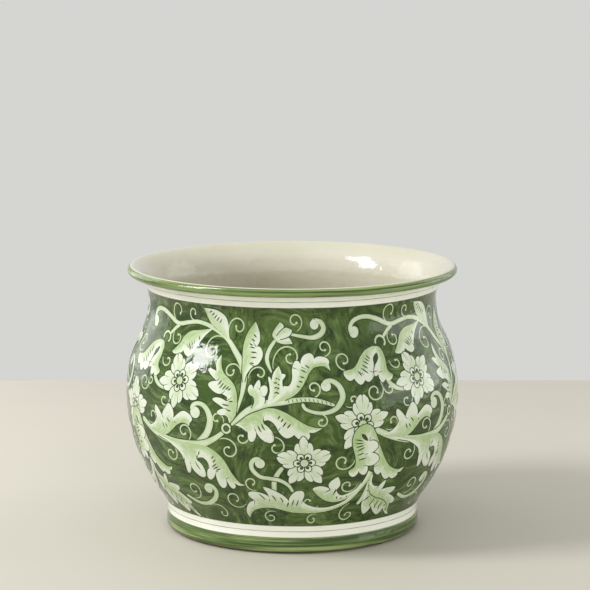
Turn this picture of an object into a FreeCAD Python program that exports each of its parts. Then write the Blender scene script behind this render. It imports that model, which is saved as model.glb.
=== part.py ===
"""A glazed earthenware planter: a thrown pot with a rolled lip, its drain plug and its floor pads.

Lengths are in millimetres. The origin is on the floor under the middle of the pot, and +Z is up.
"""
import FreeCAD, Part
import Sketcher
import math
import os
import re

FreeCAD.newDocument("planter")
doc = FreeCAD.ActiveDocument

# Sizes of the pot: the belly and the foot are measured from its axis, and each height from the one below
POT_SIZES = {
    "belly_radius": 203.0,
    "waist_radius": 153.2,
    "neck_inset": 28.0,
    "lip_overhang": 25.0,
    "lip_roll": 5.5,
    "waist_height": 16.5,
    "belly_rise": 149.5,
    "neck_rise": 115.0,
    "collar_rise": 39.0,
    "foot_swell": 1.4,
    "foot_swell_height": 8.0,
    "foot_edge_round": 3.0,
    "foot_land": 16.0,
    "foot_slope": 4.0,
    "foot_bevel": 1.5,
    "base_recess": 8.0,
    "wall": 9.0,
    "floor_thickness": 12.0,
    "drain_radius": 15.0,
    "drain_bevel": 1.5,
}

# Where the curves of the wall turn from hollow to full, as shares of the way up,
# and where the collar meets the lip, as a share of the lip's roll
WALL_SHARES = {
    "foot_share": 0.5,
    "cove_share": 0.17,
    "shoulder_share": 0.6,
    "crease_share": 0.42,
}

# Sizes of the rubber plug that closes the drain hole from inside
PLUG_SIZES = {
    "plug_gap": 0.2,
    "plug_seat_gap": 0.3,
    "plug_flange_lap": 8.0,
    "plug_flange_thickness": 3.5,
    "plug_flange_bevel": 1.0,
    "plug_rib": 1.3,
    "plug_rib_height": 2.2,
    "plug_stem_end": 2.7,
    "plug_lead": 1.5,
    "grip_neck_radius": 4.5,
    "grip_lip": 3.5,
    "grip_rise": 5.0,
    "grip_flare": 3.0,
    "grip_button": 2.5,
    "grip_bevel": 1.0,
}
# The ribs of its stem, as shares of the way down the hole, the lower one first
RIB_SHARES = (0.68, 0.34)

# Sizes of the rubber pads that are stuck under the foot
PAD_SIZES = {
    "pad_radius": 7.0,
    "pad_thickness": 2.5,
    "pad_bevel": 0.6,
}
PAD_COUNT = 4
PAD_FIRST_ANGLE = 45.0

# Radii and heights that several pieces share, as sums of the sizes above
FOOT_RADIUS = "(waist_radius + foot_swell)"
LAND_OUTER = "(%s - foot_edge_round)" % FOOT_RADIUS
NECK_RADIUS = "(belly_radius - neck_inset)"
BELLY_HEIGHT = "(waist_height + belly_rise)"
NECK_HEIGHT = "(%s + neck_rise)" % BELLY_HEIGHT
LIP_CENTRE_RADIUS = "(%s + lip_overhang - lip_roll)" % NECK_RADIUS
LIP_CENTRE_HEIGHT = "(%s + collar_rise - lip_roll)" % NECK_HEIGHT
FLOOR_TOP = "(base_recess + floor_thickness)"
FULL_TURN = 360.0

SHEET = "Sizes"
SIZES = POT_SIZES | WALL_SHARES | PLUG_SIZES | PAD_SIZES


def make_sheet():
    """Writes every size into the spreadsheet under its name."""
    made = doc.addObject("Spreadsheet::Sheet", SHEET)
    for row, (name, size) in enumerate(SIZES.items(), start=1):
        made.set("A%d" % row, name)
        made.set("B%d" % row, str(size))
        made.setAlias("B%d" % row, name)
    doc.recompute()
    return made


sheet = make_sheet()


def sized(words):
    """Points each size name in a sum at its cell, so that the sum works as an expression."""
    return re.sub(r"[a-z_]+", lambda name: SHEET + "." + name[0] if name[0] in SIZES else name[0], words)


def value(words):
    """The number that a sum of size names comes to."""
    return float(sheet.evalExpression(sized(words)))


def plane(body, role):
    """One of the body's own origin planes."""
    return next(item for item in body.Origin.OriginFeatures if item.Role == role)


def add_sketch(body, role, name):
    """An empty sketch on one of the body's own origin planes."""
    sketch = body.newObject("Sketcher::SketchObject", name)
    sketch.AttachmentSupport = [(plane(body, role), "")]
    sketch.MapMode = "FlatFace"
    return sketch


def measure(sketch, words, kind, *parts):
    """A dimension of a sketch that follows a sum of size names."""
    index = sketch.addConstraint(Sketcher.Constraint(kind, *parts, value(words)))
    sketch.setExpression("Constraints[%d]" % index, sized(words))


class Station:
    """A point of an outline: its radius and its height, each a sum of size names."""

    def __init__(self, radius, height):
        self.radius = radius
        self.height = height
        self.spot = FreeCAD.Vector(value(radius), value(height), 0)

    def towards(self, other, share):
        """The point that lies a share of the way along the straight line to another."""
        radius = "(%s) + (%s) * ((%s) - (%s))" % (self.radius, share, other.radius, self.radius)
        height = "(%s) + (%s) * ((%s) - (%s))" % (self.height, share, other.height, self.height)
        return Station(radius, height)


class Outline:
    """A closed half section, drawn anticlockwise in radius and height and tied to the spreadsheet."""

    def __init__(self, body, name):
        self.sketch = add_sketch(body, "XZ_Plane", name)
        self.first = None
        self.last = None

    def rule(self, *parts):
        self.sketch.addConstraint(Sketcher.Constraint(*parts))

    def join(self, curve, start, end, smooth):
        """Continues the outline with a curve, and remembers its open end."""
        if self.last is None:
            self.first = (curve, start)
        else:
            self.rule("Tangent" if smooth else "Coincident", *self.last, curve, start)
        self.last = (curve, end)
        return curve

    def close(self):
        self.rule("Coincident", *self.last, *self.first)

    def tie(self, curve, end, station):
        """Ties a curve's end to its station's radius and height."""
        if station.spot.x == 0:
            self.rule("PointOnObject", curve, end, -2)
        else:
            measure(self.sketch, station.radius, "DistanceX", -1, 1, curve, end)
        if station.spot.y == 0:
            self.rule("PointOnObject", curve, end, -1)
        elif station.spot.y > 0:
            measure(self.sketch, station.height, "DistanceY", -1, 1, curve, end)
        else:
            measure(self.sketch, "-(%s)" % station.height, "DistanceY", curve, end, -1, 1)

    def line(self, start, end, smooth=False):
        """A straight run to a tied end."""
        curve = self.sketch.addGeometry(Part.LineSegment(start.spot, end.spot), False)
        self.join(curve, 1, 2, smooth)
        if self.first[0] == curve:
            self.tie(curve, 1, start)
        self.tie(curve, 2, end)
        return curve

    def arc(self, start, end, centre, anticlockwise, smooth=False):
        """A round run about a centre, with its ends left to the rules that follow."""
        first = start - centre
        last = end - centre
        angles = [math.atan2(first.y, first.x), math.atan2(last.y, last.x)]
        numbers = [1, 2]
        if not anticlockwise:
            angles.reverse()
            numbers.reverse()
        circle = Part.Circle(centre, FreeCAD.Vector(0, 0, 1), first.Length)
        curve = self.sketch.addGeometry(Part.ArcOfCircle(circle, *angles), False)
        self.join(curve, *numbers, smooth)
        return curve

    def upright_arc(self, start, end, upright, smooth=False, tied=True):
        """A round run that stands upright at one of its ends, where its centre lies beside it."""
        other = end if upright is start else start
        step = other.spot - upright.spot
        bend = (step.x * step.x + step.y * step.y) / (step.x + step.x)
        centre = FreeCAD.Vector(upright.spot.x + bend, upright.spot.y, 0)
        anticlockwise = (bend < 0) == (end.spot.y > start.spot.y)
        curve = self.arc(start.spot, end.spot, centre, anticlockwise, smooth)
        far = self.last[1]
        near = 2 if far == 1 else 1
        if tied:
            self.tie(curve, far, end)
        self.rule("Horizontal", curve, 3, curve, near if upright is start else far)
        return curve

    def wave(self, start, end, share):
        """Two round runs, one hollow and one full, that are upright at both outer ends."""
        middle = start.towards(end, share)
        self.upright_arc(start, middle, start)
        return self.upright_arc(middle, end, end)


def revolve(body, outline, name):
    """Turns an outline about the upright axis."""
    outline.close()
    turned = body.newObject("PartDesign::Revolution", name)
    turned.Profile = outline.sketch
    turned.ReferenceAxis = (outline.sketch, ["V_Axis"])
    turned.Angle = FULL_TURN
    doc.recompute()
    return turned


def rings(shape, *stations):
    """The names of a turned shape's circular edges that run through the given stations."""
    found = []
    for number, edge in enumerate(shape.Edges, start=1):
        if not isinstance(edge.Curve, Part.Circle):
            continue
        spot = FreeCAD.Vector(edge.Curve.Radius, edge.Curve.Center.z, 0)
        if any(spot.isEqual(station.spot, edge.getTolerance(1)) for station in stations):
            found.append("Edge%d" % number)
    return found


def check_cut(before, after):
    """Stops if a cut took nothing away."""
    if after.Shape.Volume >= before.Shape.Volume:
        raise RuntimeError("%s cut nothing" % after.Name)


def bevel(body, name, size, *stations):
    """Bevels the circular edges that run through the given stations."""
    base = body.Tip
    bevelled = body.newObject("PartDesign::Chamfer", name)
    bevelled.Base = (base, rings(base.Shape, *stations))
    bevelled.setExpression("Size", sized(size))
    doc.recompute()
    check_cut(base, bevelled)
    return bevelled


def lift(body, height):
    """Sets a piece at its height above the floor."""
    body.setExpression(".Placement.Base.z", sized(height))


def make_pot():
    """The thrown pot: foot, belly, neck, rolled lip and drained floor in one fired piece."""
    body = doc.addObject("PartDesign::Body", "planter_body")
    outline = Outline(body, "pot_section")

    # Outside of the foot
    land_inner = Station(LAND_OUTER + " - foot_land", "0")
    land_outer = Station(LAND_OUTER, "0")
    foot_low = Station(FOOT_RADIUS, "foot_edge_round")
    foot_high = Station(FOOT_RADIUS, "foot_swell_height")
    waist = Station("waist_radius", "waist_height")
    outline.line(land_inner, land_outer)
    outline.upright_arc(land_outer, foot_low, foot_low)
    outline.line(foot_low, foot_high)
    outline.wave(foot_high, waist, "foot_share")

    # Outside of the belly, and in to the neck
    belly = Station("belly_radius", BELLY_HEIGHT)
    neck = Station(NECK_RADIUS, NECK_HEIGHT)
    belly_arc = outline.wave(waist, belly, "cove_share")
    outline.wave(belly, neck, "shoulder_share")

    # Collar that flares out to the rolled lip, and back down the inside of the neck
    lip = Station(LIP_CENTRE_RADIUS, LIP_CENTRE_HEIGHT)
    crease = Station(LIP_CENTRE_RADIUS + " - lip_roll * crease_share",
                     LIP_CENTRE_HEIGHT + " - lip_roll * sqrt(1 - crease_share * crease_share)")
    neck_inside = Station(NECK_RADIUS + " - wall", NECK_HEIGHT)
    outline.upright_arc(neck, crease, neck)
    reach = neck_inside.spot - lip.spot
    roll = value("lip_roll")
    flare = (reach.x * reach.x + reach.y * reach.y - roll * roll) / (-(reach.x + roll) * 2)
    flare_centre = neck_inside.spot + FreeCAD.Vector(flare, 0, 0)
    crest = lip.spot + (lip.spot - flare_centre).normalize() * roll
    lip_arc = outline.arc(crease.spot, crest, lip.spot, True)
    outline.tie(lip_arc, 3, lip)
    flare_arc = outline.arc(crest, neck_inside.spot, flare_centre, True, smooth=True)
    outline.tie(flare_arc, outline.last[1], neck_inside)
    outline.rule("Horizontal", flare_arc, 3, *outline.last)

    # Inside of the neck and the belly, one wall thickness in, as far down as the outside is full
    belly_inside = Station("belly_radius - wall", BELLY_HEIGHT)
    outline.wave(neck_inside, belly_inside, "1 - shoulder_share")
    bowl_centre = outline.sketch.getPoint(belly_arc, 3)
    flank = waist.towards(belly, "cove_share").spot
    inward = (bowl_centre - flank).normalize()
    heel = flank + inward * value("wall")
    bowl_arc = outline.arc(belly_inside.spot, heel, bowl_centre, False)
    outline.rule("Coincident", bowl_arc, 3, belly_arc, 3)
    spoke = outline.sketch.addGeometry(Part.LineSegment(bowl_centre, flank), True)
    outline.rule("Coincident", spoke, 1, belly_arc, 3)
    outline.rule("Coincident", spoke, 2, belly_arc, 1)
    outline.rule("PointOnObject", *outline.last, spoke)

    # Round corner from there to the flat floor, which runs in to the axis
    floor_centre = Station("0", FLOOR_TOP)
    corner = (heel.y - floor_centre.spot.y) / (1 - inward.y)
    corner_centre = heel + inward * corner
    floor_edge = corner_centre - FreeCAD.Vector(0, corner, 0)
    outline.arc(heel, floor_edge, corner_centre, False, smooth=True)
    floor_line = outline.sketch.addGeometry(Part.LineSegment(floor_edge, floor_centre.spot), False)
    outline.join(floor_line, 1, 2, True)
    outline.tie(floor_line, 2, floor_centre)
    outline.rule("Horizontal", floor_line)

    # Underside, raised inside the foot ring
    recess_centre = Station("0", "base_recess")
    recess_edge = Station(LAND_OUTER + " - foot_land - foot_slope", "base_recess")
    outline.line(floor_centre, recess_centre)
    outline.line(recess_centre, recess_edge)
    closing = outline.sketch.addGeometry(Part.LineSegment(recess_edge.spot, land_inner.spot), False)
    outline.join(closing, 1, 2, False)
    turned = revolve(body, outline, "thrown_pot")

    # Drain hole through the floor
    circle = add_sketch(body, "XY_Plane", "drain_circle")
    ring = Part.Circle(FreeCAD.Vector(0, 0, 0), FreeCAD.Vector(0, 0, 1), value("drain_radius"))
    edge = circle.addGeometry(ring, False)
    circle.addConstraint(Sketcher.Constraint("Coincident", edge, 3, -1, 1))
    measure(circle, "drain_radius", "Radius", edge)
    hole = body.newObject("PartDesign::Pocket", "drain_hole")
    hole.Profile = circle
    hole.Type = "ThroughAll"
    hole.Reversed = True
    doc.recompute()
    check_cut(turned, hole)

    # Tooled bevels on the drain hole and on the inner edge of the foot ring
    drain_low = Station("drain_radius", "base_recess")
    drain_high = Station("drain_radius", FLOOR_TOP)
    bevel(body, "drain_bevels", "drain_bevel", drain_low, drain_high)
    bevel(body, "foot_bevels", "foot_bevel", land_inner)
    lift(body, "pad_thickness")
    return body


def make_plug():
    """The rubber plug: a flange on the floor, a ribbed stem in the drain hole and a grip to pull."""
    body = doc.addObject("PartDesign::Body", "drain_plug")
    outline = Outline(body, "plug_section")
    core = "(drain_radius - plug_gap - plug_rib)"
    end = "(plug_seat_gap + floor_thickness + plug_stem_end)"

    # Stem with sealing ribs, from its bevelled lower end up
    run = [
        Station("0", "-" + end),
        Station(core + " - plug_lead", "-" + end),
        Station(core, "-(%s - plug_lead)" % end),
    ]
    for share in RIB_SHARES:
        middle = "(plug_seat_gap + floor_thickness * %g)" % share
        run.append(Station(core, "-(%s + plug_rib_height / 2)" % middle))
        run.append(Station(core + " + plug_rib", "-" + middle))
        run.append(Station(core, "-(%s - plug_rib_height / 2)" % middle))
    run.append(Station(core, "0"))

    # Flange with a bevelled upper edge, and the waisted grip on its middle
    flange = "(drain_radius + plug_flange_lap)"
    grip = "(grip_neck_radius + grip_lip)"
    grip_root = "plug_flange_thickness + grip_rise"
    grip_side = grip_root + " + grip_flare"
    grip_top = grip_side + " + grip_button"
    run += [
        Station(flange, "0"),
        Station(flange, "plug_flange_thickness - plug_flange_bevel"),
        Station(flange + " - plug_flange_bevel", "plug_flange_thickness"),
        Station("grip_neck_radius", "plug_flange_thickness"),
        Station("grip_neck_radius", grip_root),
        Station(grip, grip_side),
        Station(grip, grip_top + " - grip_bevel"),
        Station(grip + " - grip_bevel", grip_top),
        Station("0", grip_top),
    ]
    for here, there in zip(run, run[1:]):
        outline.line(here, there)
    closing = outline.sketch.addGeometry(Part.LineSegment(run[-1].spot, run[0].spot), False)
    outline.join(closing, 1, 2, False)
    revolve(body, outline, "moulded_plug")
    lift(body, "pad_thickness + %s + plug_seat_gap" % FLOOR_TOP)
    return body


def make_pad(number):
    """One rubber pad, stuck under the middle of the foot ring's land."""
    body = doc.addObject("PartDesign::Body", "foot_pad_%d" % number)
    circle = add_sketch(body, "XY_Plane", "pad_circle_%d" % number)
    ring = Part.Circle(FreeCAD.Vector(0, 0, 0), FreeCAD.Vector(0, 0, 1), value("pad_radius"))
    edge = circle.addGeometry(ring, False)
    circle.addConstraint(Sketcher.Constraint("Coincident", edge, 3, -1, 1))
    measure(circle, "pad_radius", "Radius", edge)
    disc = body.newObject("PartDesign::Pad", "pad_disc_%d" % number)
    disc.Profile = circle
    disc.setExpression("Length", sized("pad_thickness"))
    doc.recompute()
    bevel(body, "pad_bevel_%d" % number, "pad_bevel", Station("pad_radius", "0"))
    angle = PAD_FIRST_ANGLE + FULL_TURN * (number - 1) / PAD_COUNT
    middle = "(%s - foot_land / 2)" % LAND_OUTER
    body.setExpression(".Placement.Base.x", sized("%s * cos(%g)" % (middle, angle)))
    body.setExpression(".Placement.Base.y", sized("%s * sin(%g)" % (middle, angle)))
    return body


def check_document():
    """Stops if any object of the document failed, or any sketch is left loose or in conflict."""
    for item in doc.Objects:
        if {"Invalid", "Error"} & set(item.State):
            raise RuntimeError("%s failed: %s" % (item.Name, item.State))
        if item.TypeId == "Sketcher::SketchObject" and item.solve() != 0:
            raise RuntimeError("%s does not solve" % item.Name)


def write_parts(bodies):
    """Checks each piece and writes it to its own file."""
    for body in bodies:
        if body.Shape.isNull() or not body.Shape.isValid():
            raise RuntimeError("%s has no valid shape" % body.Label)
    os.makedirs("parts", exist_ok=True)
    for body in bodies:
        body.Shape.exportStep("parts/%s.step" % body.Label)
        box = body.Shape.optimalBoundingBox(False, False)
        print("%-14s %9.0f mm3, height %.2f to %.2f" % (body.Label, body.Shape.Volume, box.ZMin, box.ZMax))


pieces = [make_pot(), make_plug()]
for pad_number in range(1, PAD_COUNT + 1):
    pieces.append(make_pad(pad_number))
doc.recompute()
check_document()
write_parts(pieces)
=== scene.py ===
import math
import random

import bpy
import numpy as np
from mathutils import Color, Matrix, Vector


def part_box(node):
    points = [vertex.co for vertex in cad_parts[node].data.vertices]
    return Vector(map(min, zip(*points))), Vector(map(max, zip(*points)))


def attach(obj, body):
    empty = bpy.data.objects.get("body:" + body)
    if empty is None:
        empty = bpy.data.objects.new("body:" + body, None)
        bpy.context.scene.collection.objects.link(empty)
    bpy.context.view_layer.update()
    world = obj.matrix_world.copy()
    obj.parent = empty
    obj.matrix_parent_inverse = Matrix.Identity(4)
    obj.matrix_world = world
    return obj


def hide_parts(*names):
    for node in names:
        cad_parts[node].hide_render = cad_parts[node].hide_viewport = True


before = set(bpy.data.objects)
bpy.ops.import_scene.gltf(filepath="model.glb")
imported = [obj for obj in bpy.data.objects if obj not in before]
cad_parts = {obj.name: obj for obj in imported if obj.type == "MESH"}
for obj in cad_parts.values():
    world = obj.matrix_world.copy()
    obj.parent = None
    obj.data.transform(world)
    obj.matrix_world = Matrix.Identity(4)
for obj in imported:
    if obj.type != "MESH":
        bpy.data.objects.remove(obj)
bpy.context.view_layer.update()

# Sizes of the pot in metres: radii from its axis, heights from the underside of its foot
BELLY_RADIUS = 0.203
WAIST_RADIUS = 0.1532
NECK_RADIUS = 0.175
FOOT_RADIUS = 0.1546
WAIST_HEIGHT = 0.0165
BELLY_HEIGHT = 0.166
NECK_HEIGHT = 0.281
LIP_ROLL = 0.0055
LIP_CENTRE_RADIUS = 0.1945
LIP_CENTRE_HEIGHT = 0.3145
FOOT_SWELL_HEIGHT = 0.008
FOOT_EDGE_ROUND = 0.003
FOOT_LAND = 0.016
FOOT_SLOPE = 0.004
FOOT_BEVEL = 0.0015
BASE_RECESS = 0.008
WALL = 0.009
FLOOR_HEIGHT = 0.02
DRAIN_RADIUS = 0.015
DRAIN_BEVEL = 0.0015
PAD_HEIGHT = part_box("planter_body")[0].z
PADS = 4

# Where the wall changes between hollow and full, as shares of the way from foot to waist, from waist to
# belly and from belly to neck, and how far in on the lip's roll its crease lies
FOOT_SHARE = 0.5
COVE_SHARE = 0.17
SHOULDER_SHARE = 0.6
CREASE_SHARE = 0.42

# Painted bands, as heights on the outside of the pot
FOOT_BAND_TOP = 0.01745
FOOT_LINE = 0.02475
PANEL_FOOT = 0.03175
PANEL_TOP = 0.2946
COLLAR_LINE = 0.302
LIP_BAND_FOOT = 0.3098
FINE_LINE = 0.0007
BAND_SOFT = 0.0005
WOBBLE = 0.0022

# The paint lies in layers, this deep in the glaze
PAINT_DEPTH = 0.0004
FIRST_LAYER = 0.00006
LAYER = 0.000031

# Turned mesh: facets round the pot, the longest steps along its section, and the points of its fine arcs
SEGMENTS = 360
WALL_STEP = 0.003
EDGE_STEP = 0.0012
ARC_POINTS = 60
BOWL_POINTS = 80
FOOT_EDGE_POINTS = 20
CREAM_RINGS = 4
SHARP = math.radians(35)
PAINTED, CREAMED, BARE = range(3)

# The ornament is drawn flat, in hundredths of the panel's height, and goes round the pot in repeats
HUNDREDTH = 0.01
REPEATS = 4
TINY = 1e-9


class Value:
    """The output of a shader node, for use in sums."""

    def __init__(self, finish, link):
        self.finish = finish
        self.link = link

    def maths(self, operation, *terms):
        """Adds a Math node and gives what it works out."""
        return self.finish.node("ShaderNodeMath", {"operation": operation}, dict(enumerate(terms)))

    def __add__(self, other):
        return self.maths("ADD", self, other)

    def __radd__(self, other):
        return self.maths("ADD", other, self)

    def __sub__(self, other):
        return self.maths("SUBTRACT", self, other)

    def __rsub__(self, other):
        return self.maths("SUBTRACT", other, self)

    def __mul__(self, other):
        return self.maths("MULTIPLY", self, other)

    def __rmul__(self, other):
        return self.maths("MULTIPLY", other, self)

    def __abs__(self):
        return self.maths("ABSOLUTE", self)


# Sockets of a Mix node that mixes colours
MIX_SHARE = 0
MIX_FIRST = 6
MIX_SECOND = 7
MIXED = 2


class Finish:
    """A material, built up from its nodes."""

    def __init__(self, name):
        self.material = bpy.data.materials.new(name)
        self.material.use_nodes = True
        self.tree = self.material.node_tree
        self.shader = self.tree.nodes["Principled BSDF"]
        self.spot = self.node("ShaderNodeTexCoord", output="Object")  # where a point lies, in metres

    def node(self, kind, settings=None, sockets=None, output=0):
        """Adds a node with its settings, then the values or links of its sockets, and gives one output."""
        made = self.tree.nodes.new(kind)
        for name, setting in (settings or {}).items():
            setattr(made, name, setting)
        for name, given in (sockets or {}).items():
            self.feed(made.inputs[name], given)
        return Value(self, made.outputs[output])

    def feed(self, socket, given):
        """Links a node's output to a socket, or sets the socket to a number or colour."""
        if isinstance(given, Value):
            self.tree.links.new(given.link, socket)
        else:
            socket.default_value = given

    def set(self, **sockets):
        """Sets sockets of the shader itself, named with _ for each space."""
        for name, given in sockets.items():
            self.feed(self.shader.inputs[name.replace("_", " ")], given)

    def mix(self, share, first, second):
        """A colour that goes from the first to the second by a share."""
        sockets = {MIX_SHARE: share, MIX_FIRST: first, MIX_SECOND: second}
        return self.node("ShaderNodeMix", {"data_type": "RGBA"}, sockets, MIXED)

    def written(self, name, output="Fac"):
        """A value that is written on the mesh."""
        return self.node("ShaderNodeAttribute", {"attribute_name": name}, output=output)

    def vector(self, operation, *terms, output=0):
        """Adds a Vector Math node and gives what it works out."""
        return self.node("ShaderNodeVectorMath", {"operation": operation}, dict(enumerate(terms)), output)

    def part(self, spot, axis):
        """How far a place lies along X, Y or Z."""
        return self.node("ShaderNodeSeparateXYZ", sockets={0: spot}, output=axis)

    def noise(self, scale, detail=2.0, roughness=0.5, distortion=0.0, at=None, output="Fac"):
        """Soft random clouds, or streaks where the place that they are taken at is stretched."""
        sockets = {"Vector": at or self.spot, "Scale": scale, "Detail": detail, "Roughness": roughness,
                   "Distortion": distortion}
        return self.node("ShaderNodeTexNoise", sockets=sockets, output=output)

    def ramp(self, share, low, high, start=0.0, end=1.0):
        """Moves a share from one range to another, with soft ends."""
        sockets = {"Value": share, "From Min": low, "From Max": high, "To Min": start, "To Max": end}
        return self.node("ShaderNodeMapRange", {"interpolation_type": "SMOOTHSTEP"}, sockets)

    def bump(self, height, strength, distance):
        """The relief of a surface, for its Normal."""
        sockets = {"Strength": strength, "Distance": distance, "Height": height}
        return self.node("ShaderNodeBump", sockets=sockets)


def shade(red, green, blue):
    """A colour as a screen shows it, from 0 to 255, turned into the renderer's own."""
    return (*Color([part / 255 for part in (red, green, blue)]).from_srgb_to_scene_linear(), 1.0)


# Colours of the glaze, the clay and the floor
# The cream glaze made lighter than it is: painted light for the collar band, which the lip shades
CREAM_WITH_PAINTED_LIGHT = shade(243, 244, 234)
# The inside creams are darker copies of the cream glaze: painted shade for the inside of the pot
SHADED_CREAM_INSIDE = shade(212, 209, 194)
SHADED_CREAM_DEEP = shade(205, 201, 180)
CREAM_THIN = shade(226, 227, 212)
GREEN_DARK = shade(26, 49, 2)
GREEN_DEEP = shade(46, 70, 10)
GREEN_MID = shade(69, 93, 29)
GREEN_LIGHT = shade(100, 124, 68)
LINE_GREEN = shade(40, 58, 14)
BAND_DARK = shade(52, 74, 22)
BAND_MID = shade(78, 100, 44)
BAND_LIGHT = shade(146, 164, 104)
PALE_GREEN = shade(156, 180, 124)
PALE_WASH = shade(182, 198, 160)
PALE_WHITE = shade(209, 216, 198)
CLAY = shade(196, 160, 128)
CLAY_DARK = shade(164, 126, 98)
STONE = shade(205, 200, 188)
STONE_DARK = shade(193, 188, 177)

GLAZE_ROUGHNESS = 0.04
GLAZE_IOR = 1.55
BRUSH_BEND = 0.07


def glazed(finish, colour):
    """The fired gloss that all the glaze shares: slow ripples, small dimples and a fine orange peel."""
    ripple = finish.noise(45.0)
    dimple = finish.noise(120.0, 3.0)
    peel = finish.noise(420.0)
    relief = ripple * 1.8 + dimple * 0.85 + peel * 0.1
    finish.set(Base_Color=colour, Roughness=GLAZE_ROUGHNESS + dimple * 0.1, IOR=GLAZE_IOR,
               Normal=finish.bump(relief, 0.6, 0.0008))
    return finish.material


def brushed(finish, across, along, scale, seed):
    """Brush marks that wander over the wall: streaks, stretched one way and bent by slow waves."""
    waves = finish.vector("MULTIPLY", finish.noise(14.0, 1.0, output="Color"), (BRUSH_BEND,) * 3)
    bent = finish.vector("ADD", finish.vector("ADD", finish.spot, waves), (seed,) * 3)
    return finish.noise(scale, 5.0, 0.68, at=finish.vector("MULTIPLY", bent, (across, across, along)))


def brushed_ground(finish):
    """The dark green of the panel: patches under level and upright brush marks."""
    patches = finish.noise(15.0, 3.0, 0.55, 0.6)
    level_marks = brushed(finish, 1.0, 5.0, 26.0, 0.0)
    upright_marks = brushed(finish, 4.0, 1.0, 30.0, 3.7)
    turn = finish.ramp(finish.noise(11.0, 1.0), 0.42, 0.58)
    marks = level_marks * turn + upright_marks * (1 - turn)
    ground = finish.mix(finish.ramp(patches, 0.42, 0.64), GREEN_DEEP, GREEN_MID)
    ground = finish.mix(finish.ramp(marks, 0.5, 0.38), ground, GREEN_DARK)
    return finish.mix(finish.ramp(marks, 0.52, 0.62) * 0.7, ground, GREEN_LIGHT)


def milky_cream(finish, height):
    """The cream bands, each with a fine green line that comes and goes."""
    # This cream is lighter than the glaze itself, as painted light on the shaded collar
    milk = finish.mix(finish.noise(30.0, 3.0), CREAM_THIN, CREAM_WITH_PAINTED_LIGHT)
    load = finish.ramp(finish.noise(60.0), 0.2, 0.7, 0.5, 1.0)
    for line in (FOOT_LINE, COLLAR_LINE):
        near = finish.ramp(abs(height - line), FINE_LINE, FINE_LINE * 0.3)
        milk = finish.mix(near * load * 0.8, milk, GREEN_MID)
    return milk


def make_wall_glaze():
    """The painted outside: brushed green ground, cream bands with a fine line, green foot and lip."""
    finish = Finish("brushed green wall glaze")
    height = finish.part(finish.spot, "Z") - PAD_HEIGHT + (finish.noise(9.0) - 0.5) * WOBBLE

    # In the foot and lip bands the brush runs round the pot, so its hairs are long that way
    girth = finish.vector("LENGTH", finish.vector("MULTIPLY", finish.spot, (1.0, 1.0, 0.0)), output="Value")
    around = finish.node("ShaderNodeCombineXYZ", sockets={
        "X": finish.part(finish.spot, "X") * 5.0, "Y": finish.part(finish.spot, "Y") * 5.0,
        "Z": (height - girth) * 330.0})
    strokes = finish.noise(1.0, 4.0, 0.65, at=around)
    loads = finish.noise(1.0, at=finish.vector("MULTIPLY", around, (1.0, 1.0, 0.3)))
    band = finish.mix(finish.ramp(strokes, 0.38, 0.56), BAND_DARK, BAND_MID)
    band = finish.mix(finish.ramp(strokes * 0.6 + loads * 0.4, 0.5, 0.62), band, BAND_LIGHT)
    # The lip gets paler streaks than the foot: partly its own brushwork, partly a painted sheen where the
    # lip catches the light
    lip_band_and_sheen = finish.mix(finish.ramp(strokes, 0.35, 0.6, 0.0, 0.5), band, BAND_LIGHT)

    milk = milky_cream(finish, height)
    colour = band
    for edge, above in ((FOOT_BAND_TOP, milk), (PANEL_FOOT, brushed_ground(finish)),
                        (PANEL_TOP, milk), (LIP_BAND_FOOT, lip_band_and_sheen)):
        colour = finish.mix(finish.ramp(height, edge - BAND_SOFT, edge + BAND_SOFT), colour, above)
    return glazed(finish, colour)


def make_cream_glaze():
    """The cream glaze inside, darker than the cream outside as painted shade in the pot's hollow, and a
    little thinner in its throwing rings.
    """
    finish = Finish("shaded cream inside glaze")
    rings = finish.noise(1.0, at=finish.vector("MULTIPLY", finish.spot, (1.0, 1.0, 90.0)))
    thin = finish.ramp(rings * 0.5 + finish.noise(12.0, 3.0) * 0.5, 0.3, 0.7)
    return glazed(finish, finish.mix(thin, SHADED_CREAM_DEEP, SHADED_CREAM_INSIDE))


def make_bare_clay():
    """The unglazed underside: fired earthenware with grog and rub marks."""
    finish = Finish("bare clay foot")
    grog = finish.noise(700.0, 3.0)
    colour = finish.mix(finish.noise(25.0, 4.0), CLAY_DARK, CLAY)
    colour = finish.mix(finish.ramp(grog, 0.6, 0.72), colour, CREAM_THIN)
    finish.set(Base_Color=colour, Roughness=finish.ramp(grog, 0.2, 0.8, 0.7, 0.95),
               Normal=finish.bump(grog, 0.5, 0.0004))
    return finish.material


def make_pale_paint(name, low, streaks, contrast):
    """Pale slip for the ornament: washed green in its hollows and white where the brush was full."""
    finish = Finish(name)
    run = finish.written("run", "Vector")
    hairs = finish.noise(1.0, 3.0, 0.6, at=finish.vector("MULTIPLY", run, (0.3, streaks, 1.0)))
    cloud = finish.noise(50.0, 3.0)
    share = finish.written("pale") + (hairs - 0.5) * contrast + (cloud - 0.5) * 0.7
    colour = finish.mix(finish.ramp(share, 0.0, 0.45), low, PALE_WASH)
    return glazed(finish, finish.mix(finish.ramp(share, 0.4, 0.95), colour, PALE_WHITE))


def make_line_paint(name, low, high):
    """Thin paint for outlines and veins, fading where the brush ran dry."""
    finish = Finish(name)
    return glazed(finish, finish.mix(finish.ramp(finish.noise(110.0, 3.0), 0.35, 0.7), low, high))


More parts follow.
